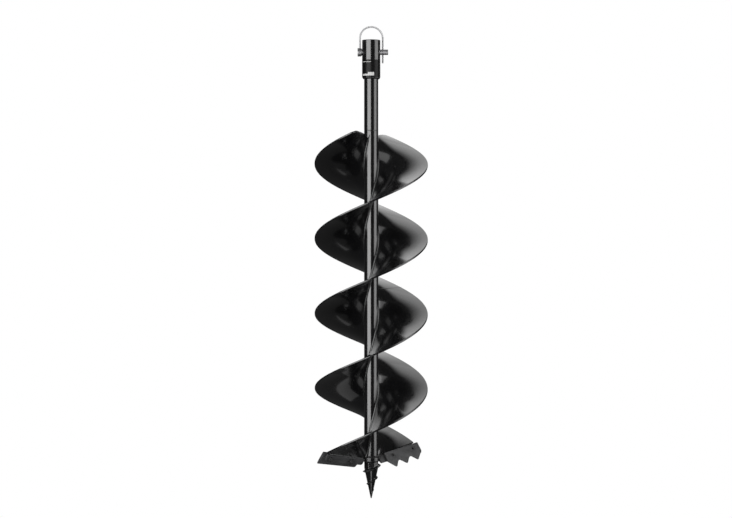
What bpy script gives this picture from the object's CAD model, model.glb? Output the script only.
"""Looks of the soil auger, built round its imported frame, in metres, +Z up.

Every solid gets a finely meshed piece of its own that stands for it, and the weld
beads, which the frame leaves out, are pieces too. The blades, their holders,
screws and nuts are set out in a blade frame: u outwards along the blade, w down its
leading face and b behind that face. Side b is side a turned half a turn.
"""

import math

import bmesh
import bpy
from mathutils import Matrix, Vector


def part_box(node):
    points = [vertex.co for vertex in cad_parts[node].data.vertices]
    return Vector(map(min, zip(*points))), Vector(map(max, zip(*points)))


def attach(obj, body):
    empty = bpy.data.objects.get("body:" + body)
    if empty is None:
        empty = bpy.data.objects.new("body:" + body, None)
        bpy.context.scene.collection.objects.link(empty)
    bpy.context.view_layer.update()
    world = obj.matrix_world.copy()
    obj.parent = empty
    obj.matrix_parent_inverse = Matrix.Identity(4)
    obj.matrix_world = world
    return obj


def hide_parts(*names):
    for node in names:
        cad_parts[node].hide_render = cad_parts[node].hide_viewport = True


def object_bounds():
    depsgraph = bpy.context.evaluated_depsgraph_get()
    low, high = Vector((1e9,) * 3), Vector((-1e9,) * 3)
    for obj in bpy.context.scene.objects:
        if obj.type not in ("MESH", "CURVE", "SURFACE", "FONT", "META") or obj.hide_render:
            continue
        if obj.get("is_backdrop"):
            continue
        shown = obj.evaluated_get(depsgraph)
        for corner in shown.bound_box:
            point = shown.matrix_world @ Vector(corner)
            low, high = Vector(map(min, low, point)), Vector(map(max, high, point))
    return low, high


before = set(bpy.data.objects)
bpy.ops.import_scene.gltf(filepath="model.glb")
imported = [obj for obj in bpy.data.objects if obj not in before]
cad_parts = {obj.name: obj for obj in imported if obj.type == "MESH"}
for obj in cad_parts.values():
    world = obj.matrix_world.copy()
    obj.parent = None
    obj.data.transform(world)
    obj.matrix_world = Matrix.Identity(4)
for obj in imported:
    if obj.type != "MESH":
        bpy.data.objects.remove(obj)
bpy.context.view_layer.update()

UP = Vector((0, 0, 1))
TURNS = (("a", 0.0), ("b", math.pi))
GAP = 0.0003
SINK = 0.0001
OVERCUT = 0.001
SMOOTH_ANGLE = math.radians(32)
HOLD = 1.08

# What the frame gives
SOCKET_LOW, SOCKET_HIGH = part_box("drive_socket")
SHAFT_LOW, SHAFT_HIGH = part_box("shaft_tube")
COLLAR_LOW, COLLAR_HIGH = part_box("tip_collar")
PILOT_LOW, PILOT_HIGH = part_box("pilot_screw")
PIN_LOW, PIN_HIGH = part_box("lock_pin")
BUSH_LOW, BUSH_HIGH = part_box("pilot_bush")
SOCKET_RADIUS = SOCKET_HIGH.x
SHAFT_RADIUS = SHAFT_HIGH.x
COLLAR_RADIUS = COLLAR_HIGH.x
HEAD_RADIUS = (PIN_HIGH.z - PIN_LOW.z) / 2
PIN_Z = (PIN_HIGH.z + PIN_LOW.z) / 2

# Drive socket and shaft
BORE_RADIUS = 0.010
BORE_DEPTH = 0.045
SOCKET_WEB = 0.010
SOCKET_FOOT = 0.0032
SHAFT_WALL = 0.003
SHAFT_JOIN_Z = -0.159
GROOVE_DEPTH = 0.00010
GROOVE_HALF_WIDTH = 0.00035
COLLAR_CHAMFER = 0.0014
EDGE = 0.0008
ROUND_STEPS = 96
LABEL_TOP = -0.0350
LABEL_BOTTOM = -0.0655
LABEL_THICKNESS = 0.00005
LABEL_ANGLES = (-200, 20)
LABEL_STEPS = 64
LABEL_MARKS = (  # top, bottom, and the start and end angle in degrees
    (-0.0384, -0.0394, -168, -92),
    (-0.0572, -0.0632, -112, -72),
    (-0.0600, -0.0632, -160, -112),
)

# Cross pin and bail
PIN_RADIUS = 0.0048
PIN_HOLE_RADIUS = 0.0051
NECK_RADIUS = 0.0062
NECK_LENGTH = 0.0012
WIRE_RADIUS = 0.0015
WIRE_SIDES = 20
WIRE_END_ROUND = 0.0008
BAIL_PIVOT_X = -0.0198
BAIL_SPAN = 0.0407
BAIL_ARCH_Z = 0.0031
BAIL_TIP_Z = -0.0402

# Flights
FLIGHT_RADIUS = 0.100
FLIGHT_PITCH = 0.2642
FLIGHT_THICKNESS = 0.003
FLIGHT_TOP_Z = -0.1625
FLIGHT_TOP_ANGLE = math.radians(76)
FLIGHT_TOP_OFFSET = 0.0035
FLIGHT_CORNER = 0.0115
FLIGHT_BLEND = math.radians(70)
COLLAR_BLEND = math.radians(15)
OFFSET_BLEND = math.radians(25)
FLIGHT_INNER_RADIUS = SHAFT_RADIUS + GAP
FLIGHT_STEP = math.radians(1.5)
FLIGHT_RIM_ROUND = 0.0010
FLIGHT_RIM_HOLD = 0.0003
FLIGHT_SPANS = 14
FLIGHT_RIM_STEPS = 4

# Blade frame, blades, screws and nuts
BLADE_ANGLE = math.radians(38.5)
BLADE_RISE = math.radians(9.6)
BLADE_DIP = math.radians(62)
BLADE_FORWARD = 0.0051
BLADE_Z = -0.7388
BLADE_THICKNESS = 0.004
BLADE_LAND = 0.0012
BLADE_GRIND = 0.0028
BLADE_GRIND_FROM = 0.0128
HOLDER_FRONT = 0.0043
HOLDER_BACK = 0.0083
FLIGHT_SEAT = (-0.0022, 0.0058)
FLIGHT_SEAT_SLOPE = -0.04
BLADE_TOP = -0.0034
SCREW_PLACES = (("inner", 0.044, 0.0052), ("outer", 0.091, 0.0052))
SCREW_RADIUS = 0.0025
SCREW_HEAD_RADIUS = 0.0045
SCREW_RECESS = 0.0001
SCREW_PLAY = 0.0001
SCREW_LENGTH = 0.014
SCREW_THREAD = 0.0008
SCREW_GROOVE = 0.00035
SCREW_HOLE_RADIUS = 0.0028
SCREW_KEY_RADIUS = 0.0022
SCREW_KEY_DEPTH = 0.0042
NUT_RADIUS = 0.0046
NUT_TOP = 0.0086
NUT_BOTTOM = 0.0126
NUT_CHAMFER = 0.0004

# Screw point
KEY_TOP_Z = -0.7446
KEY_BOTTOM_Z = -0.756
KEY_HALF_FLATS = 0.0123
KEY_CHAMFER = 0.0007
KEY_CHAMFER_SLOPE = 1.4
CONE_TOP_Z = -0.757
CONE_RADIUS = 0.01205
CONE_SLOPE = 0.211
TIP_ROUND = 0.004
STEM_RADIUS = 0.007
THREAD_PITCH = 0.0222
THREAD_CREST_Z = -0.7510
THREAD_START = math.radians(45)
THREAD_LEAD_IN = math.radians(45)
THREAD_END = math.radians(-810)
THREAD_HALF_WIDTH = 0.0036
THREAD_HEIGHT = 0.0052
THREAD_ROOT = 0.0012
THREAD_CREST_ROUND = 0.14
THREAD_BLEND = 0.0005
PILOT_ROW = 0.00025
PILOT_STEPS = 120

# Welds
WELD_LEG = 0.0018
WELD_RIPPLE = 0.0026
WELD_STEP = math.radians(1.0)
WELD_BULGE = 0.15
WELD_SINK = 0.0004
WELD_FADE = 0.05
SEAM_WELD_SPAN = (0.0145, 0.0992)
SEAM_WELD_HALF_WIDTH = 0.0018
SEAM_WELD_HEIGHT = 0.00012
SEAM_WELD_STEPS = 140
HOLDER_WELD_SPAN = (0.019, 0.0965)
HOLDER_WELD_LEG = 0.0020
HOLDER_WELD_GROWTH = 0.0012
HOLDER_WELD_TOP = -0.0008
HOLDER_WELD_CLIMB = 0.0020
HOLDER_WELD_INSET = 0.0034
HOLDER_WELD_STEPS = 160

# Camera and light
CAMERA_DISTANCE = 3.059
CAMERA_X = -0.0092
CAMERA_Z = -0.2970
CAMERA_PITCH = math.radians(1.655)
CAMERA_LENS = 85.2
LIGHT_AIM = Vector((0, 0, -0.40))
STAGE_DROP = 0.30
STAGE_RADIUS = 9.0
STAGE_SHADE_RADIUS = 1.2
BANK_DISTANCE = 4.0
BANK_HALF = 2.2
BANK_DEEP = 3.8
WORLD_GLOW = 0.036


def ease(x):
    x = min(max(x, 0.0), 1.0)
    return x * x * (3 - 2 * x)


# ---------------------------------------------------------------- mesh helpers


def add_piece(name, vertices, faces, material, place=None):
    """A mesh object with its faces turned outwards and its hard edges kept."""
    mesh = bpy.data.meshes.new(name)
    mesh.from_pydata([tuple(v) for v in vertices], [], faces)
    shape = bmesh.new()
    shape.from_mesh(mesh)
    bmesh.ops.recalc_face_normals(shape, faces=shape.faces)
    shape.to_mesh(mesh)
    shape.free()
    obj = bpy.data.objects.new(name, mesh)
    bpy.context.scene.collection.objects.link(obj)
    obj.matrix_world = place or Matrix.Identity(4)
    if material:
        mesh.materials.append(material)
    smooth(obj)
    return obj


def smooth(obj, angle=SMOOTH_ANGLE):
    obj.data.shade_smooth()
    obj.data.set_sharp_from_angle(angle=angle)


def skin(name, rings, material, place=None, closed=False):
    """Rings of equal, even length joined in a row, capped unless the row closes on itself."""
    count = len(rings[0])
    vertices = [point for ring in rings for point in ring]
    faces = []
    rows = len(rings) if closed else len(rings) - 1
    for i in range(rows):
        a, b = i * count, (i + 1) % len(rings) * count
        for k in range(count):
            following = (k + 1) % count
            faces.append([a + k, a + following, b + following, b + k])
    if not closed:
        for start in (0, (len(rings) - 1) * count):
            for k in range(count // 2 - 1):
                far = start + count - 1 - k
                faces.append([start + k, start + k + 1, far - 1, far])
    return add_piece(name, vertices, faces, material, place)


def turned(name, profile, material, place=None, closed=False, steps=ROUND_STEPS, shape=None):
    """A profile of (radius, height) turned round Z; shape may vary the radius with the angle."""
    rings = []
    for radius, height in profile:
        ring = []
        for i in range(steps):
            angle = 2 * math.pi * i / steps
            r = shape(angle, radius) if shape else radius
            ring.append((r * math.cos(angle), r * math.sin(angle), height))
        rings.append(ring)
    return skin(name, rings, material, place, closed)


def rounded(points, radius, steps=4, loop=False):
    """A line of (x, y) with each corner an arc, and a point beside each arc to keep flats flat."""
    result = []
    for i, point in enumerate(points):
        if not loop and i in (0, len(points) - 1):
            result.append(point)
            continue
        here = Vector(point)
        before = Vector(points[i - 1]) - here
        after = Vector(points[(i + 1) % len(points)]) - here
        reach = min(radius, before.length * 0.45, after.length * 0.45)
        start, end = here + reach * before.normalized(), here + reach * after.normalized()
        result.append(tuple(here + HOLD * (start - here)))
        for k in range(steps + 1):
            t = k / steps
            curve = (1 - t) ** 2 * start + 2 * t * (1 - t) * here + t * t * end
            result.append((curve.x, curve.y))
        result.append(tuple(here + HOLD * (end - here)))
    return result


def cut(obj, tool):
    """Takes the tool's shape out of a piece and removes the tool."""
    modifier = obj.modifiers.new("cut", "BOOLEAN")
    modifier.operation = "DIFFERENCE"
    modifier.solver = "EXACT"
    modifier.object = tool
    apply_modifiers(obj)
    bpy.data.objects.remove(tool, do_unlink=True)
    smooth(obj)


def apply_modifiers(obj):
    depsgraph = bpy.context.evaluated_depsgraph_get()
    depsgraph.update()
    mesh = bpy.data.meshes.new_from_object(obj.evaluated_get(depsgraph))
    obj.modifiers.clear()
    obj.data = mesh


def soften(obj, width, segments=2, angle=math.radians(35)):
    """Breaks a piece's hard edges with a small round."""
    modifier = obj.modifiers.new("soften", "BEVEL")
    modifier.width = width
    modifier.segments = segments
    modifier.limit_method = "ANGLE"
    modifier.angle_limit = angle
    modifier.miter_outer = "MITER_ARC"
    apply_modifiers(obj)
    smooth(obj)


def rod(radius, height, place, steps=32):
    """A plain cylinder to cut with, from z = 0 up."""
    return turned("cutter", [(radius, 0), (radius, height)], None, place, steps=steps)


def along_x(x, z):
    return Matrix.Translation((x, 0, z)) @ Matrix.Rotation(math.pi / 2, 4, "Y")


def stands_for(obj, slot, body, *nodes):
    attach(obj, body)
    if nodes:
        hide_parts(*nodes)


# ------------------------------------------------------------------ materials


class Paint:
    """A material whose nodes are added one call at a time, in the object's own coordinates."""

    def __init__(self, name, metallic, coat=0.0, coat_roughness=0.1):
        self.material = bpy.data.materials.new(name)
        self.material.use_nodes = True
        self.tree = self.material.node_tree
        self.shader = self.tree.nodes["Principled BSDF"]
        self.shader.inputs["Metallic"].default_value = metallic
        self.shader.inputs["Coat Weight"].default_value = coat
        self.shader.inputs["Coat Roughness"].default_value = coat_roughness
        self.place = self.tree.nodes.new("ShaderNodeTexCoord").outputs["Object"]

    def link(self, value, socket):
        if isinstance(value, bpy.types.NodeSocket):
            self.tree.links.new(value, socket)
        else:
            socket.default_value = value

    def stretched(self, scale):
        node = self.tree.nodes.new("ShaderNodeMapping")
        node.inputs["Scale"].default_value = scale
        self.link(self.place, node.inputs["Vector"])
        return node.outputs["Vector"]

    def noise(self, scale, detail=3.0, roughness=0.5, vector=None):
        node = self.tree.nodes.new("ShaderNodeTexNoise")
        node.inputs["Scale"].default_value = scale
        node.inputs["Detail"].default_value = detail
        node.inputs["Roughness"].default_value = roughness
        self.link(vector or self.place, node.inputs["Vector"])
        return node.outputs["Fac"]

    def spread(self, value, low, high, start=0.3, end=0.7):
        node = self.tree.nodes.new("ShaderNodeMapRange")
        self.link(value, node.inputs["Value"])
        limits = {"From Min": start, "From Max": end, "To Min": low, "To Max": high}
        for name, number in limits.items():
            node.inputs[name].default_value = number
        return node.outputs["Result"]

    def blend(self, share, first, second):
        node = self.tree.nodes.new("ShaderNodeMix")
        node.data_type = "RGBA"
        self.link(share, node.inputs["Factor"])
        for value, socket in ((first, node.inputs[6]), (second, node.inputs[7])):
            self.link((*value, 1.0) if isinstance(value, tuple) else value, socket)
        return node.outputs[2]

    def calculate(self, operation, first, second):
        node = self.tree.nodes.new("ShaderNodeMath")
        node.operation = operation
        self.link(first, node.inputs[0])
        self.link(second, node.inputs[1])
        return node.outputs["Value"]

    def bump(self, height, strength, distance, under=None):
        node = self.tree.nodes.new("ShaderNodeBump")
        node.inputs["Strength"].default_value = strength
        node.inputs["Distance"].default_value = distance
        self.link(height, node.inputs["Height"])
        if under:
            self.link(under, node.inputs["Normal"])
        return node.outputs["Normal"]

    def finish(self, colour, roughness, normal):
        self.link(colour, self.shader.inputs["Base Color"])
        self.link(roughness, self.shader.inputs["Roughness"])
        self.link(normal, self.shader.inputs["Normal"])
        return self.material


def gloss_black():
    """Stoved gloss enamel: a faint orange peel, clouding in the gloss and a little dust."""
    paint = Paint("gloss_black", 0.0, coat=1.0, coat_roughness=0.10)
    cloud = paint.noise(38, 4)
    dust = paint.spread(paint.noise(1900, 2, 0.7), 0.0, 1.0, 0.72, 0.84)
    tone = paint.blend(paint.spread(cloud, 0, 1), (0.0038, 0.0038, 0.0041), (0.0062, 0.0062, 0.0066))
    colour = paint.blend(dust, tone, (0.012, 0.012, 0.0115))
    roughness = paint.spread(paint.noise(90, 5, 0.6), 0.17, 0.24)
    peel = paint.bump(paint.noise(420, 2), 0.02, 0.0002)
    return paint.finish(colour, roughness, paint.bump(paint.noise(60, 2), 0.006, 0.0008, peel))


def weld_black():
    """The same enamel over rippled weld metal, a little duller, with spatter grain."""
    paint = Paint("weld_black", 0.0, coat=0.7, coat_roughness=0.18)
    mottle = paint.spread(paint.noise(300, 3), 0, 1)
    tone = paint.blend(mottle, (0.0045, 0.0045, 0.0048), (0.010, 0.010, 0.0102))
    roughness = paint.spread(paint.noise(700, 3), 0.26, 0.42)
    return paint.finish(tone, roughness, paint.bump(paint.noise(1300, 3), 0.35, 0.0002))


def blade_grey():
    """Semi-matt dark grey coat over ground flat steel: fine grain and faint drag lines."""
    paint = Paint("blade_grey", 0.0, coat=0.0)
    lines = paint.noise(90, 3, 0.6, paint.stretched((1.0, 26.0, 26.0)))
    cloud = paint.noise(55, 4)
    tone = paint.blend(paint.spread(cloud, 0, 1), (0.040, 0.040, 0.0415), (0.058, 0.058, 0.060))
    colour = paint.blend(paint.spread(lines, 0.0, 0.35), tone, (0.075, 0.075, 0.077))
    roughness = paint.spread(paint.noise(260, 4), 0.44, 0.56)
    grain = paint.bump(paint.noise(2400, 2), 0.12, 0.0001)
    return paint.finish(colour, roughness, paint.bump(lines, 0.05, 0.0002, grain))


def turned_steel():
    """Bright-drawn steel with fine turning rings about its axis and dull patches."""
    paint = Paint("turned_steel", 0.85)
    rings = paint.noise(60, 2, 0.6, paint.stretched((0.4, 0.4, 60.0)))
    stain = paint.noise(140, 4, 0.6)
    tone = paint.blend(paint.spread(stain, 0, 1), (0.40, 0.40, 0.41), (0.54, 0.54, 0.55))
    colour = paint.blend(paint.spread(rings, 0.0, 0.4), tone, (0.30, 0.30, 0.305))
    roughness = paint.spread(paint.noise(300, 3), 0.30, 0.44)
    return paint.finish(colour, roughness, paint.bump(rings, 0.3, 0.0002))


def zinc():
    """Bright zinc plate: small soft spangles and a faint drawn grain."""
    paint = Paint("zinc_plate", 0.1)
    spangle = paint.noise(420, 3, 0.6)
    colour = paint.blend(paint.spread(spangle, 0, 1), (0.55, 0.55, 0.56), (0.60, 0.60, 0.61))
    roughness = paint.spread(paint.noise(800, 3), 0.50, 0.60)
    return paint.finish(colour, roughness, paint.bump(spangle, 0.01, 0.0001))


def black_oxide():
    """Oil-blackened fastener steel with rubbed grain."""
    paint = Paint("black_oxide", 0.4)
    mottle = paint.spread(paint.noise(500, 4), 0, 1)
    colour = paint.blend(mottle, (0.040, 0.040, 0.042), (0.070, 0.069, 0.068))
    roughness = paint.spread(paint.noise(900, 3), 0.42, 0.54)
    return paint.finish(colour, roughness, paint.bump(paint.noise(1800, 2), 0.25, 0.0001))


def label_black():
    """Satin black film, slightly mottled, with a fine grain."""
    paint = Paint("label_black", 0.0)
    paint.shader.inputs["Specular IOR Level"].default_value = 0.15
    mottle = paint.spread(paint.noise(420, 4, 0.6), 0, 1)
    colour = paint.blend(mottle, (0.005, 0.005, 0.005), (0.011, 0.011, 0.011))
    roughness = paint.spread(paint.noise(350, 4), 0.22, 0.32)
    return paint.finish(colour, roughness, paint.bump(paint.noise(1200, 2), 0.10, 0.0001))


def pale_print():
    """Screen-printed ink: pale, a little uneven and grained."""
    paint = Paint("pale_print", 0.0)
    mottle = paint.spread(paint.noise(900, 4, 0.7), 0, 1)
    colour = paint.blend(mottle, (0.55, 0.55, 0.54), (0.80, 0.80, 0.79))
    roughness = paint.spread(paint.noise(600, 3), 0.35, 0.55)
    return paint.finish(colour, roughness, paint.bump(paint.noise(1500, 2), 0.2, 0.0001))


# ------------------------------------------------------- socket, shaft, collar


def make_socket(material):
    foot = -SOCKET_LOW.z
    tube_hole = SHAFT_RADIUS + GAP
    outside = [
        (BORE_RADIUS, -BORE_DEPTH),
        (BORE_RADIUS, SOCKET_HIGH.z),
        (SOCKET_RADIUS, SOCKET_HIGH.z),
        (SOCKET_RADIUS, -foot + SOCKET_FOOT),
        (tube_hole + SINK, -foot + SOCKET_FOOT),
        (tube_hole, -BORE_DEPTH - SOCKET_WEB),
    ]
    profile = [(SINK, -BORE_DEPTH)] + rounded(outside, EDGE) + [(SINK, -BORE_DEPTH - SOCKET_WEB)]
    socket = turned("drive_socket_fine", profile, material)
    reach = 1.5 * SOCKET_RADIUS
    cut(socket, rod(PIN_HOLE_RADIUS, 2 * reach, along_x(-reach, PIN_Z), steps=48))
    stands_for(socket, "black_paint", "auger", "drive_socket")


def wrapped(name, top, bottom, start, end, thickness, material):
    """A thin patch on the socket's wall, between two heights and two angles in degrees."""
    rings = []
    low, high = SOCKET_RADIUS - SINK, SOCKET_RADIUS + thickness
    for k in range(LABEL_STEPS + 1):
        angle = math.radians(start + (end - start) * k / LABEL_STEPS)
        section = ((low, bottom), (high, bottom), (high, top), (low, top))
        rings.append([(r * math.cos(angle), r * math.sin(angle), z) for r, z in section])
    return skin(name, rings, material)


def make_socket_label(dark, pale):
    """A dark satin label round the socket's front, with three plain pale marks on it."""
    label = wrapped("socket_label", LABEL_TOP, LABEL_BOTTOM, *LABEL_ANGLES, LABEL_THICKNESS, dark)
    stands_for(label, "black_paint", "auger")
    for i, (top, bottom, start, end) in enumerate(LABEL_MARKS):
        mark = wrapped(f"socket_mark_{i + 1}", top, bottom, start, end, 2 * LABEL_THICKNESS, pale)
        stands_for(mark, "zinc_wire", "auger")


def make_shaft(material):
    """The tube, with a hairline groove round it just above the flights."""
    inner, groove = SHAFT_RADIUS - SHAFT_WALL, GROOVE_DEPTH
    profile = [(SHAFT_RADIUS, SHAFT_HIGH.z)]
    for height, depth in ((3, 0), (1, 0), (0.5, groove), (-0.5, groove), (-1, 0), (-3, 0)):
        profile.append((SHAFT_RADIUS - depth, SHAFT_JOIN_Z + height * GROOVE_HALF_WIDTH))
    profile += [(SHAFT_RADIUS, SHAFT_LOW.z), (inner, SHAFT_LOW.z), (inner, SHAFT_HIGH.z)]
    shaft = turned("shaft_tube_fine", profile, material, closed=True)
    stands_for(shaft, "black_paint", "auger", "shaft_tube")


def make_collar(material):
    inner = SHAFT_RADIUS + GAP
    top, bottom = COLLAR_HIGH.z, COLLAR_LOW.z
    outside = [
        (inner, top),
        (COLLAR_RADIUS - COLLAR_CHAMFER, top),
        (COLLAR_RADIUS, top - COLLAR_CHAMFER),
        (COLLAR_RADIUS, bottom + COLLAR_CHAMFER),
        (COLLAR_RADIUS - COLLAR_CHAMFER, bottom),
        (inner, bottom),
    ]
    collar = turned("tip_collar_fine", rounded(outside, 0.0004, 3), material, closed=True)
    stands_for(collar, "black_paint", "auger", "tip_collar")


def make_bush(material):
    outer, inner = BUSH_HIGH.x, STEM_RADIUS + GAP
    top, bottom = BUSH_HIGH.z, BUSH_LOW.z
    outside = [(outer, bottom), (outer, top), (inner, top), (inner, bottom)]
    profile = rounded(outside, 0.0005, 3, loop=True)
    bush = turned("pilot_bush_fine", profile, material, closed=True, steps=64)
    stands_for(bush, "dark_steel", "auger", "pilot_bush")


# -------------------------------------------------------------- pin and bail


def make_lock_pin(material):
    shoulder = -SOCKET_RADIUS - GAP
    profile = [
        (SINK, PIN_LOW.x),
        (HEAD_RADIUS, PIN_LOW.x),
        (HEAD_RADIUS, shoulder - NECK_LENGTH),
        (NECK_RADIUS, shoulder - NECK_LENGTH),
        (NECK_RADIUS, shoulder),
        (PIN_RADIUS, shoulder),
        (PIN_RADIUS, PIN_HIGH.x),
        (SINK, PIN_HIGH.x),
    ]
    pin = turned("lock_pin_fine", rounded(profile, EDGE), material, along_x(0, PIN_Z), steps=72)
    depth = HEAD_RADIUS + PIN_RADIUS + 2 * OVERCUT
    place = Matrix.Translation((BAIL_PIVOT_X, 0, PIN_Z - PIN_RADIUS - GAP))
    cut(pin, rod(WIRE_RADIUS + GAP, depth, place))
    stands_for(pin, "pin_steel", "pin", "lock_pin")


def bail_path():
    """The bail's centre line in its own plane, from the captive end to the free tip."""
    radius = BAIL_SPAN / 2
    low = PIN_Z - PIN_RADIUS
    foot, arch, leg = 12, 48, 20
    path = [Vector((0, 0, low + (BAIL_ARCH_Z - low) * i / foot)) for i in range(foot)]
    for i in range(arch + 1):
        angle = math.pi * (1 - i / arch)
        x, z = radius * (1 + math.cos(angle)), BAIL_ARCH_Z + radius * math.sin(angle)
        path.append(Vector((x, 0, z)))
    drop = BAIL_TIP_Z - BAIL_ARCH_Z
    path += [Vector((BAIL_SPAN, 0, BAIL_ARCH_Z + drop * i / leg)) for i in range(1, leg + 1)]
    return path


def wire_rings(path, side):
    """The wire's rings round a path square to the side axis, with both ends rounded off."""
    rings = []
    for i, point in enumerate(path):
        along = (path[min(i + 1, len(path) - 1)] - path[max(i - 1, 0)]).normalized()
        across = side.cross(along).normalized()
        ends = [(0.0, 1.0)]
        if i in (0, len(path) - 1):
            outward = -1 if i == 0 else 1
            ends = [(outward * WIRE_END_ROUND * (math.sin(q) - 1), math.cos(q) * 0.6 + 0.4)
                    for q in (0.0, 0.5, 1.0, math.pi / 2)]
            if i == 0:
                ends.reverse()
        for shift, size in ends:
            ring = []
            for k in range(WIRE_SIDES):
                angle = 2 * math.pi * k / WIRE_SIDES
                offset = math.cos(angle) * across + math.sin(angle) * side
                ring.append(point + shift * along + WIRE_RADIUS * size * offset)
            rings.append(ring)
    return rings


def make_bail(material):
    behind = PIN_RADIUS + GAP + WIRE_RADIUS
    swing = math.asin(behind / BAIL_SPAN)
    place = Matrix.Translation((BAIL_PIVOT_X, 0, 0)) @ Matrix.Rotation(swing, 4, "Z")
    rings = wire_rings(bail_path(), Vector((0, 1, 0)))
    bail = skin("pin_bail_fine", rings, material, place)
    stands_for(bail, "zinc_wire", "bail", "pin_bail")


# ------------------------------------------------------------------- flights


def blade_frame(turn):
    """Axes u outwards, w down the leading face and b behind it, turned about Z."""
    a, e, dip = BLADE_ANGLE, BLADE_RISE, BLADE_DIP
    forward = Vector((math.sin(a), -math.cos(a), 0))
    outward = Vector((math.cos(a) * math.cos(e), math.sin(a) * math.cos(e), math.sin(e)))
    upward = Vector((-math.cos(a) * math.sin(e), -math.sin(a) * math.sin(e), math.cos(e)))
    down_face = math.cos(dip) * forward - math.sin(dip) * upward
    behind = -math.sin(dip) * forward - math.cos(dip) * upward
    origin = BLADE_FORWARD * forward + Vector((0, 0, BLADE_Z))
    columns = Matrix((outward, down_face, behind)).transposed().to_4x4()
    return Matrix.Rotation(turn, 4, "Z") @ Matrix.Translation(origin) @ columns


FLIGHT_SWEEP = FLIGHT_TOP_ANGLE - BLADE_ANGLE + 4 * math.pi
SIDE_A = blade_frame(0)


def flight_point(swept, radius):
    """The sheet's middle, at an angle swept down from the top end."""
    left = FLIGHT_SWEEP - swept
    seat = SIDE_A @ Vector((radius, FLIGHT_SEAT[0] + FLIGHT_SEAT_SLOPE * radius, FLIGHT_SEAT[1]))
    seat_offset = seat.x * math.sin(BLADE_ANGLE) - seat.y * math.cos(BLADE_ANGLE)
    offset = FLIGHT_TOP_OFFSET * ease(1 - swept / OFFSET_BLEND)
    offset += seat_offset * ease(1 - left / OFFSET_BLEND)
    angle = FLIGHT_TOP_ANGLE - swept - math.asin(offset / radius)
    height = FLIGHT_TOP_Z - FLIGHT_PITCH * (FLIGHT_TOP_ANGLE - angle) / (2 * math.pi)
    end_swept = FLIGHT_SWEEP + math.asin(seat_offset / radius)
    end_height = FLIGHT_TOP_Z - FLIGHT_PITCH * end_swept / (2 * math.pi)
    height += (seat.z - end_height) * ease(1 - left / FLIGHT_BLEND)
    return Vector((radius * math.cos(angle), radius * math.sin(angle), height))


def flight_axes(swept, radius):
    """The sheet's upper normal and its outward direction at a point."""
    step = 1e-4
    along = flight_point(swept + step, radius) - flight_point(swept - step, radius)
    outwards = flight_point(swept, radius + step) - flight_point(swept, radius)
    return along.cross(outwards).normalized(), outwards.normalized()


def rim_radius(swept):
    """The rim, rounded at the flight's top outer corner."""
    travelled = swept * FLIGHT_RADIUS
    if travelled >= FLIGHT_CORNER:
        return FLIGHT_RADIUS
    short = FLIGHT_CORNER - travelled
    return FLIGHT_RADIUS - FLIGHT_CORNER + math.sqrt(FLIGHT_CORNER**2 - short**2)


def web_radius(swept):
    """The sheet's inner edge, which steps out round the collar at its foot."""
    step_out = COLLAR_RADIUS - SHAFT_RADIUS + GAP
    return FLIGHT_INNER_RADIUS + step_out * ease(1 - (FLIGHT_SWEEP - swept) / COLLAR_BLEND)


def sheet_section(swept):
    """One cut across the sheet: its upper face outwards, the rounded rim, the lower face back."""
    inner, rim = web_radius(swept), rim_radius(swept)
    flat_rim, half = rim - FLIGHT_RIM_ROUND, FLIGHT_THICKNESS / 2
    upper = []
    for k in range(FLIGHT_SPANS + 1):
        share = (k / FLIGHT_SPANS) ** 1.5
        upper.append((inner + share * (flat_rim - FLIGHT_RIM_HOLD - inner), half))
    upper.append((flat_rim, half))
    for k in range(1, FLIGHT_RIM_STEPS + 1):
        q = math.pi / 2 * k / FLIGHT_RIM_STEPS
        out, drop = FLIGHT_RIM_ROUND * math.sin(q), FLIGHT_RIM_ROUND * (1 - math.cos(q))
        upper.append((flat_rim + out, half - drop))
    section = upper + [(radius, -height) for radius, height in reversed(upper)]
    points = []
    for radius, height in section:
        normal, _ = flight_axes(swept, radius)
        points.append(flight_point(swept, radius) + height * normal)
    return points


def flight_stations(first, last):
    count = math.ceil((last - first) / FLIGHT_STEP)
    stations = [first + (last - first) * i / count for i in range(count + 1)]
    if first > 0:
        return stations
    corner = FLIGHT_CORNER / FLIGHT_RADIUS
    stations += [corner * (1 - math.cos(math.radians(q))) for q in range(10, 90, 10)]
    return sorted(stations)


def make_flights(material):
    seam = FLIGHT_SWEEP / 2
    for part, first, last in (("upper", 0.0, seam), ("lower", seam, FLIGHT_SWEEP)):
        rings = [sheet_section(swept) for swept in flight_stations(first, last)]
        for label, turn in TURNS:
            node = f"flight_{label}_{part}"
            flight = skin(f"{node}_fine", rings, material, Matrix.Rotation(turn, 4, "Z"))
            stands_for(flight, "black_paint", "auger", node)


# --------------------------------------------------------------------- welds


def ripple(distance):
    """How a hand-laid bead swells and pinches along its length, about 1."""
    phase = (distance / WELD_RIPPLE) % 1.0
    scallop = 0.90 + 0.16 * math.sin(math.pi * phase) ** 0.6
    drift = 0.05 * math.sin(distance * 97.0) + 0.04 * math.sin(distance * 231.0 + 1.3)
    return scallop + drift


def bead_ring(corner, first, second, leg):
    """A fillet bead's cut: it fills the corner between two directions and bulges outwards."""
    points = [corner - SINK * (first + second)]
    for k in range(7):
        q = math.pi / 2 * k / 6
        reach = leg * (1 + WELD_BULGE * math.sin(2 * q))
        share = math.cos(q) ** 1.5, math.sin(q) ** 1.5
        points.append(corner + reach * (share[0] * first + share[1] * second))
    return points


def on_shaft(point, radius):
    """A point moved straight in to a radius."""
    flat = Vector((point.x, point.y, 0)).normalized() * radius
    return Vector((flat.x, flat.y, point.z))


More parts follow.
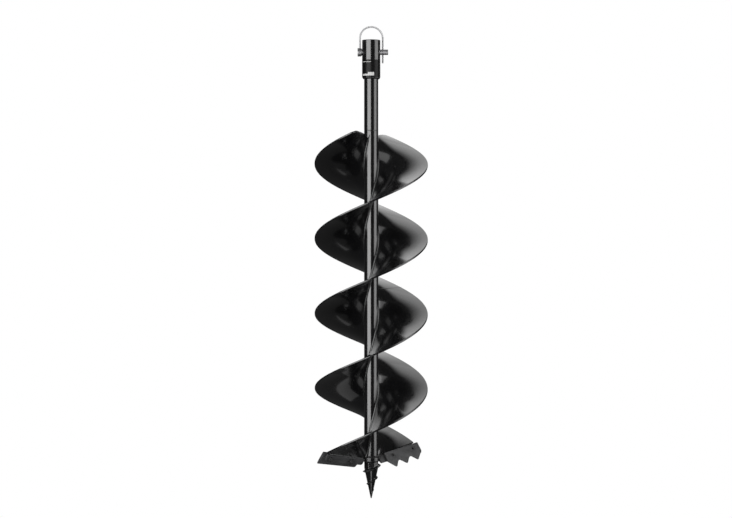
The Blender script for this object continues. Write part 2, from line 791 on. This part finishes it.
def make_flight_welds(material):
    """Fillets between the sheet and the shaft, above and below it, over its whole length."""
    count = math.ceil(FLIGHT_SWEEP / WELD_STEP)
    for face, side in (("upper", 1), ("lower", -1)):
        rings, travelled, previous = [], 0.0, None
        for i in range(count + 1):
            swept = FLIGHT_SWEEP * i / count
            inner = web_radius(swept)
            normal, outwards = flight_axes(swept, inner)
            root = flight_point(swept, inner) + side * FLIGHT_THICKNESS / 2 * normal
            travelled += (root - previous).length if previous else 0.0
            previous = root
            radial = Vector((root.x, root.y, 0)).normalized()
            tangent = (side * normal - (side * normal).dot(radial) * radial).normalized()
            wall = inner - WELD_SINK
            ends = ease(swept / WELD_FADE) * ease((FLIGHT_SWEEP - swept) / WELD_FADE)
            leg = WELD_LEG * ripple(travelled) * (0.35 + 0.65 * ends)
            ring = bead_ring(on_shaft(root, wall), outwards, tangent, leg)
            ring = [on_shaft(p, max(wall, p.xy.length)) for p in ring]
            ring[-1] = on_shaft(ring[-1], wall - SINK)
            rings.append(ring)
        for label, turn in TURNS:
            name = f"flight_{label}_{face}_weld"
            bead = skin(name, rings, material, Matrix.Rotation(turn, 4, "Z"))
            stands_for(bead, "black_paint", "auger")


def make_seam_welds(material):
    """A low dressed bead across each flight, above and below, where its two lengths are butted."""
    seam, (inner, outer) = FLIGHT_SWEEP / 2, SEAM_WELD_SPAN
    cut_shape = ((-1.0, -0.3), (-0.55, 0.62), (0.0, 1.0), (0.55, 0.62), (1.0, -0.3), (0.0, -0.5))
    for face, side in (("upper", 1), ("lower", -1)):
        rings = []
        for i in range(SEAM_WELD_STEPS + 1):
            radius = inner + (outer - inner) * i / SEAM_WELD_STEPS
            swell = ripple(radius)
            per_radian = math.hypot(radius, FLIGHT_PITCH / (2 * math.pi))
            ring = []
            for across, rise in cut_shape:
                swept = seam + across * SEAM_WELD_HALF_WIDTH * swell / per_radian
                normal, _ = flight_axes(swept, radius)
                lift = side * (FLIGHT_THICKNESS / 2 + rise * SEAM_WELD_HEIGHT * swell)
                ring.append(flight_point(swept, radius) + lift * normal)
            rings.append(ring)
        for label, turn in TURNS:
            name = f"flight_{label}_{face}_seam_weld"
            bead = skin(name, rings, material, Matrix.Rotation(turn, 4, "Z"))
            stands_for(bead, "black_paint", "auger")


def make_ring_weld(name, radius, z, drop, leg, material):
    """A fillet round the shaft, between its wall and a face that looks up or down."""
    rings = []
    count = round(2 * math.pi * radius / (WELD_RIPPLE / 5))
    ripples = round(2 * math.pi * radius / WELD_RIPPLE)
    for i in range(count):
        angle = 2 * math.pi * i / count
        outwards = Vector((math.cos(angle), math.sin(angle), 0))
        size = leg * ripple(angle / (2 * math.pi) * ripples * WELD_RIPPLE)
        rings.append(bead_ring(radius * outwards + Vector((0, 0, z)), outwards, drop * UP, size))
    bead = skin(name, rings, material, closed=True)
    stands_for(bead, "black_paint", "auger")


def make_holder_welds(material):
    """A bead along each holder's top edge, up to the flight's end and thicker towards the rim."""
    inner, outer = HOLDER_WELD_SPAN
    for label, turn in TURNS:
        place = blade_frame(turn)
        rings = []
        for i in range(HOLDER_WELD_STEPS + 1):
            share = i / HOLDER_WELD_STEPS
            u = inner + (outer - inner) * share
            w = HOLDER_WELD_TOP - HOLDER_WELD_CLIMB * share
            size = (HOLDER_WELD_LEG + HOLDER_WELD_GROWTH * share) * ripple(u)
            root = Vector((u, w, HOLDER_BACK - HOLDER_WELD_INSET))
            rings.append(bead_ring(root, Vector((0, -1, 0)), Vector((0, 0, 1)), size))
        bead = skin(f"holder_{label}_flight_weld", rings, material, place)
        stands_for(bead, "black_paint", "auger")


# ---------------------------------------------------- blades, holders, screws


def serrated_outline():
    """Three teeth, each with a long inner flank and a steep outer one."""
    return [(0.028, BLADE_TOP), (0.028, 0.0142), (0.0398, 0.0259), (0.0416, 0.0268), (0.0432, 0.0260),
            (0.0487, 0.0188), (0.0512, 0.0172), (0.0542, 0.0170), (0.0648, 0.0261), (0.0665, 0.0269),
            (0.0680, 0.0260), (0.0744, 0.0188), (0.0772, 0.0172), (0.0802, 0.0170), (0.0903, 0.0261),
            (0.0920, 0.0269), (0.0936, 0.0260), (0.1008, 0.0188), (0.1048, 0.0163), (0.1066, 0.0130),
            (0.1056, BLADE_TOP)]


def plain_outline():
    """A straight edge between cut-back ends."""
    return [(0.0210, BLADE_TOP), (0.0228, 0.0130), (0.0250, 0.0213), (0.1072, 0.0210), (0.1078, 0.0160),
            (0.1062, BLADE_TOP)]


def holder_outline():
    return [(0.0158, -0.0010), (0.0162, 0.0090), (0.0185, 0.0112), (0.0960, 0.0125),
            (0.1000, 0.0085), (0.1000, -0.0030)]


def layered_plate(name, layers, material, place):
    """Outlines of equal length stacked at their heights, with the first and last filled."""
    count = len(layers[0][1])
    vertices = [(x, y, height) for height, outline in layers for x, y in outline]
    last = (len(layers) - 1) * count
    faces = [list(range(count)), list(range(last + count - 1, last - 1, -1))]
    for i in range(len(layers) - 1):
        for k in range(count):
            a, b = i * count + k, i * count + (k + 1) % count
            faces.append([a, a + count, b + count, b])
    return add_piece(name, vertices, faces, material, place)


def make_blade(name, outline, place, material):
    """A blade ground to a bevel along its lower edge, behind, with countersunk holes."""
    outline = rounded(outline, 0.0006, 3, loop=True)
    ground = [(u, w - BLADE_GRIND if w > BLADE_GRIND_FROM else w) for u, w in outline]
    layers = [(0.0, outline), (BLADE_LAND, outline), (BLADE_THICKNESS, ground)]
    blade = layered_plate(f"{name}_fine", layers, material, place)
    mouth = SCREW_HEAD_RADIUS + SCREW_PLAY
    sink = [
        (mouth + SCREW_RECESS + OVERCUT, -OVERCUT),
        (SCREW_HOLE_RADIUS, SCREW_RECESS + mouth - SCREW_HOLE_RADIUS),
        (SCREW_HOLE_RADIUS, BLADE_THICKNESS + OVERCUT),
    ]
    for _, u, w in SCREW_PLACES:
        cut(blade, turned("cutter", sink, None, place @ Matrix.Translation((u, w, 0)), steps=48))
    soften(blade, 0.00025)
    stands_for(blade, "blade_paint", "auger", name)


def make_holder(name, place, material):
    outline = rounded(holder_outline(), 0.001, 4, loop=True)
    layers = [(HOLDER_FRONT, outline), (HOLDER_BACK, outline)]
    holder = layered_plate(f"{name}_fine", layers, material, place)
    for _, u, w in SCREW_PLACES:
        spot = place @ Matrix.Translation((u, w, HOLDER_FRONT - OVERCUT))
        cut(holder, rod(SCREW_HOLE_RADIUS, HOLDER_BACK - HOLDER_FRONT + 2 * OVERCUT, spot))
    soften(holder, 0.0004)
    stands_for(holder, "blade_paint", "auger", name)


def make_screw(name, place, material):
    """A flat-head screw with a hexagon key hole and the thread's end behind the nut."""
    cone_end = SCREW_RECESS + SCREW_HEAD_RADIUS - SCREW_RADIUS
    rim, tip = 0.0002, 0.0003
    profile = [
        (SINK, SCREW_RECESS),
        (SCREW_HEAD_RADIUS - rim, SCREW_RECESS),
        (SCREW_HEAD_RADIUS, SCREW_RECESS + rim),
        (SCREW_RADIUS, cone_end),
    ]
    core, quarter = SCREW_RADIUS - SCREW_GROOVE, SCREW_THREAD * 0.25
    turns = math.floor((SCREW_LENGTH - 2 * tip - cone_end) / SCREW_THREAD)
    for i in range(1, turns):
        z = cone_end + i * SCREW_THREAD
        profile += [(SCREW_RADIUS, z - quarter), (core, z + quarter)]
    profile += [
        (core, SCREW_LENGTH - tip),
        (SCREW_RADIUS - 2 * SCREW_GROOVE, SCREW_LENGTH),
        (SINK, SCREW_LENGTH),
    ]
    screw = turned(f"{name}_fine", profile, material, place, steps=40)
    key = [(SCREW_KEY_RADIUS, -OVERCUT), (SCREW_KEY_RADIUS, SCREW_KEY_DEPTH)]
    cut(screw, turned("cutter", key, None, place, steps=6))
    stands_for(screw, "dark_steel", "auger", name)


def hexagon(corner_radius):
    """Limits a turned radius to a hexagon with a corner on the first axis."""
    half_flats = corner_radius * math.cos(math.pi / 6)

    def limit(angle, radius):
        turn = (angle % (math.pi / 3)) - math.pi / 6
        return min(radius, half_flats / math.cos(turn))

    return limit


def make_nut(name, place, material):
    half_flats = NUT_RADIUS * math.cos(math.pi / 6)
    drop = (NUT_RADIUS - half_flats) * 0.6
    bore = SCREW_HOLE_RADIUS
    profile = [
        (bore, NUT_TOP + NUT_CHAMFER),
        (bore + NUT_CHAMFER, NUT_TOP),
        (half_flats, NUT_TOP),
        (NUT_RADIUS, NUT_TOP + drop),
        (NUT_RADIUS, NUT_BOTTOM - drop),
        (half_flats, NUT_BOTTOM),
        (bore + NUT_CHAMFER, NUT_BOTTOM),
        (bore, NUT_BOTTOM - NUT_CHAMFER),
    ]
    limit = hexagon(NUT_RADIUS)
    nut = turned(f"{name}_fine", profile, material, place, closed=True, steps=72, shape=limit)
    stands_for(nut, "dark_steel", "auger", name)


def make_cutting_head(blade_material, screw_material):
    outlines = {"a": ("serrated_blade", serrated_outline()), "b": ("plain_blade", plain_outline())}
    for label, turn in TURNS:
        place = blade_frame(turn)
        name, outline = outlines[label]
        make_blade(name, outline, place, blade_material)
        make_holder(f"blade_holder_{label}", place, blade_material)
        for spot_name, u, w in SCREW_PLACES:
            spot = place @ Matrix.Translation((u, w, 0))
            make_screw(f"blade_screw_{label}_{spot_name}", spot, screw_material)
            make_nut(f"blade_nut_{label}_{spot_name}", spot, screw_material)


# --------------------------------------------------------------- screw point


def octagon_radius(angle):
    turn = (angle + math.pi / 8) % (math.pi / 4) - math.pi / 8
    return KEY_HALF_FLATS / math.cos(turn)


def pilot_body(angle, z):
    """The screw point without its thread: wrench flats, then the cone down to a blunt tip."""
    if z > KEY_BOTTOM_Z:
        edge = min(KEY_TOP_Z - z, z - KEY_BOTTOM_Z)
        chamfer = KEY_HALF_FLATS - KEY_CHAMFER / 2 + KEY_CHAMFER_SLOPE * edge
        return min(octagon_radius(angle), chamfer)
    cone = min(CONE_RADIUS, CONE_RADIUS - CONE_SLOPE * (CONE_TOP_Z - z))
    tip = max(z - PILOT_LOW.z, 0.0)
    return min(cone, math.sqrt(tip * TIP_ROUND) + SINK)


def thread_rise(angle, z):
    """How far the thread stands out of the body, under it where there is none."""
    best = -THREAD_ROOT
    total = THREAD_START - THREAD_END
    for turn in range(-3, 2):
        a = angle + 2 * math.pi * turn
        if not THREAD_END <= a <= THREAD_START:
            continue
        fade = (a - THREAD_END) / total
        lead_in = ease((THREAD_START - a) / THREAD_LEAD_IN)
        height = THREAD_HEIGHT * fade**0.8 * lead_in
        half = THREAD_HALF_WIDTH * (0.35 + 0.65 * fade) * (0.3 + 0.7 * lead_in)
        away = abs(z - THREAD_CREST_Z - THREAD_PITCH * a / (2 * math.pi)) / half
        if away < 1:
            k = THREAD_CREST_ROUND
            crest = 1 - (math.hypot(away, k) - k) / (math.hypot(1, k) - k)
            best = max(best, (height + THREAD_ROOT) * crest - THREAD_ROOT)
    return best


def make_pilot(material):
    """The screw point as a skin of rows, each point as far out as the body or the thread."""
    stem_top, shoulder = PILOT_HIGH.z, KEY_TOP_Z + 0.00005
    stem = (
        (STEM_RADIUS - EDGE, stem_top),
        (STEM_RADIUS, stem_top - EDGE),
        (STEM_RADIUS, shoulder),
    )
    rings = [[spot] * PILOT_STEPS for spot in stem]
    rows = round((KEY_TOP_Z - PILOT_LOW.z) / PILOT_ROW)
    for i in range(rows + 1):
        z = KEY_TOP_Z + (PILOT_LOW.z - KEY_TOP_Z) * i / rows
        ring = []
        for k in range(PILOT_STEPS):
            angle = 2 * math.pi * k / PILOT_STEPS
            body = pilot_body(angle, z)
            cone = max(CONE_RADIUS - CONE_SLOPE * (CONE_TOP_Z - z), 0)
            thread = min(body, cone, CONE_RADIUS) + thread_rise(angle, z)
            blended = (body + thread + math.hypot(body - thread, THREAD_BLEND)) / 2
            ring.append((blended - THREAD_BLEND / 8, z))
        rings.append(ring)
    turn = 2 * math.pi / PILOT_STEPS
    points = []
    for ring in rings:
        points.append([(r * math.cos(k * turn), r * math.sin(k * turn), z)
                       for k, (r, z) in enumerate(ring)])
    pilot = skin("pilot_screw_fine", points, material)
    stands_for(pilot, "black_paint", "auger", "pilot_screw")


# --------------------------------------------------------------------- stage


def pale_stage():
    """Plain white, a shade greyer on the floor under the part."""
    paint = Paint("pale_stage", 0.0)
    length = paint.tree.nodes.new("ShaderNodeVectorMath")
    length.operation = "LENGTH"
    paint.link(paint.stretched((1.0, 1.0, 0.0)), length.inputs[0])
    glow = paint.spread(length.outputs["Value"], 0.90, 1.0, 0.0, STAGE_SHADE_RADIUS)
    paint.shader.inputs["Specular IOR Level"].default_value = 0.0
    paint.shader.inputs["Base Color"].default_value = (0, 0, 0, 1)
    paint.shader.inputs["Emission Color"].default_value = (1, 1, 1, 1)
    paint.link(glow, paint.shader.inputs["Emission Strength"])
    return paint.material


def make_stage():
    """A pale floor that curves up into a pale wall and ceiling; the part doesn't mirror it."""
    floor_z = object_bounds()[0][2] - STAGE_DROP
    corner = STAGE_RADIUS / 3
    profile = [(STAGE_SHADE_RADIUS * i / 8 + SINK, floor_z) for i in range(9)]
    profile.append((STAGE_RADIUS - corner, floor_z))
    for i in range(1, 13):
        q = math.pi / 2 * i / 12
        inwards, up = corner * (1 - math.sin(q)), corner * (1 - math.cos(q))
        profile.append((STAGE_RADIUS - inwards, floor_z + up))
    profile += [(STAGE_RADIUS, STAGE_RADIUS), (SINK, STAGE_RADIUS + corner)]
    floor = turned("floor", profile, pale_stage())
    floor.visible_glossy = False
    floor.visible_diffuse = False
    floor.visible_shadow = False
    floor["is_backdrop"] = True


def light_axes(azimuth, elevation):
    """The way to a light, and its axes; azimuth 0 is on the camera's side and grows towards +X."""
    a, e = math.radians(azimuth), math.radians(elevation)
    towards = Vector((math.sin(a) * math.cos(e), -math.cos(a) * math.cos(e), math.sin(e)))
    right = Vector((math.cos(a), math.sin(a), 0))
    return towards, Matrix((right, right.cross(-towards), towards)).transposed().to_4x4()


def soft_box(name, azimuth, elevation, distance, across, up, radiance):
    """A panel square to a line from the part; its limits across and up start from that line."""
    towards, columns = light_axes(azimuth, elevation)
    width, height = across[1] - across[0], up[1] - up[0]
    light = bpy.data.lights.new(name, "AREA")
    light.shape = "RECTANGLE"
    light.size, light.size_y = width, height
    light.energy = radiance * 4 * width * height
    obj = bpy.data.objects.new(name, light)
    bpy.context.scene.collection.objects.link(obj)
    middle = Matrix.Translation((sum(across) / 2, sum(up) / 2, 0))
    obj.matrix_world = Matrix.Translation(LIGHT_AIM + distance * towards) @ columns @ middle
    obj.visible_camera = False


def bank_shader(patches):
    """Glow that is the strongest of some patches, each rising and falling across and up."""
    paint = Paint("bank_glow", 0.0)
    place = paint.tree.nodes.new("ShaderNodeSeparateXYZ")
    paint.link(paint.place, place.inputs["Vector"])
    total = 0.0
    for across, up, glow in patches:
        share = glow
        for name, (rise, full, hold, end) in (("X", across), ("Y", up)):
            value = place.outputs[name]
            share = paint.calculate("MULTIPLY", share, paint.spread(value, 0.0, 1.0, rise, full))
            share = paint.calculate("MULTIPLY", share, paint.spread(value, 1.0, 0.0, hold, end))
        total = paint.calculate("MAXIMUM", total, share)
    paint.shader.inputs["Base Color"].default_value = (0, 0, 0, 1)
    paint.shader.inputs["Specular IOR Level"].default_value = 0.0
    paint.shader.inputs["Emission Color"].default_value = (1, 1, 1, 1)
    paint.link(total, paint.shader.inputs["Emission Strength"])
    return paint.material


def make_bank():
    """A large panel behind and above the part, lit in three patches and seen only in the gloss."""
    patches = (
        ((-1.9, -1.15, 0.5, 0.8), (-3.8, -3.0, 0.6, 1.8), 0.62),
        ((-1.9, -1.15, 1.4, 1.7), (-0.9, -0.5, 0.6, 1.8), 0.82),
        ((-1.7, 0.6, 1.4, 1.7), (-0.9, -0.5, 0.6, 1.8), 1.15),
    )
    towards, columns = light_axes(170, 42)
    half, deep = BANK_HALF, BANK_DEEP
    corners = [(-half, -deep, 0), (half, -deep, 0), (half, half, 0), (-half, half, 0)]
    place = Matrix.Translation(LIGHT_AIM + BANK_DISTANCE * towards) @ columns
    bank = add_piece("light_bank", corners, [[0, 1, 2, 3]], bank_shader(patches), place)
    bank.visible_camera = False
    bank.visible_shadow = False
    bank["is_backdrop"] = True


def make_lights():
    """Two tall boxes in front, two above the right shoulder, two weak ones below, and the bank."""
    soft_box("left_box", -33.5, 0, 3.0, (-1.75, 1.45), (-0.77, 1.1), 3.5)
    soft_box("right_box", 74.5, 0, 3.0, (-1.55, 1.05), (-0.79, 1.1), 1.9)
    soft_box("low_box", 0, -34, 3.0, (-0.45, 0.45), (-0.35, 0.35), 1.7)
    soft_box("shoulder_box", 50, 52, 3.0, (-0.85, 0.85), (-1.0, 1.1), 0.72)
    soft_box("shoulder_strip", 48, 29, 3.0, (-0.95, 0.95), (-0.35, 0.35), 1.5)
    soft_box("floor_glow", 0, -89.9, 1.5, (-0.65, 0.65), (-0.65, 0.65), 0.2)
    make_bank()
    world = bpy.data.worlds.new("studio")
    world.use_nodes = True
    background = world.node_tree.nodes["Background"]
    background.inputs["Color"].default_value = (1, 1, 1, 1)
    background.inputs["Strength"].default_value = WORLD_GLOW
    bpy.context.scene.world = world


def make_camera():
    camera = bpy.data.cameras.new("camera")
    camera.lens = CAMERA_LENS
    camera.sensor_width = 36
    camera.clip_end = 50
    obj = bpy.data.objects.new("camera", camera)
    bpy.context.scene.collection.objects.link(obj)
    obj.location = (CAMERA_X, -CAMERA_DISTANCE, CAMERA_Z)
    obj.rotation_euler = (math.pi / 2 - CAMERA_PITCH, 0, 0)
    bpy.context.scene.camera = obj
    bpy.context.scene.view_settings.view_transform = "Standard"


def main():
    gloss, weld, grey = gloss_black(), weld_black(), blade_grey()
    oxide = black_oxide()
    make_camera()
    make_lights()
    make_stage()
    make_socket(gloss)
    make_socket_label(label_black(), pale_print())
    make_shaft(gloss)
    make_collar(gloss)
    make_bush(oxide)
    make_lock_pin(turned_steel())
    make_bail(zinc())
    make_flights(gloss)
    make_flight_welds(weld)
    make_seam_welds(weld)
    make_ring_weld("socket_foot_weld", SHAFT_RADIUS, SOCKET_LOW.z + SOCKET_FOOT, -1, 0.0028, weld)
    make_ring_weld("collar_top_weld", SHAFT_RADIUS, COLLAR_HIGH.z, 1, 0.0018, weld)
    make_holder_welds(weld)
    make_cutting_head(grey, oxide)
    make_pilot(gloss)


main()
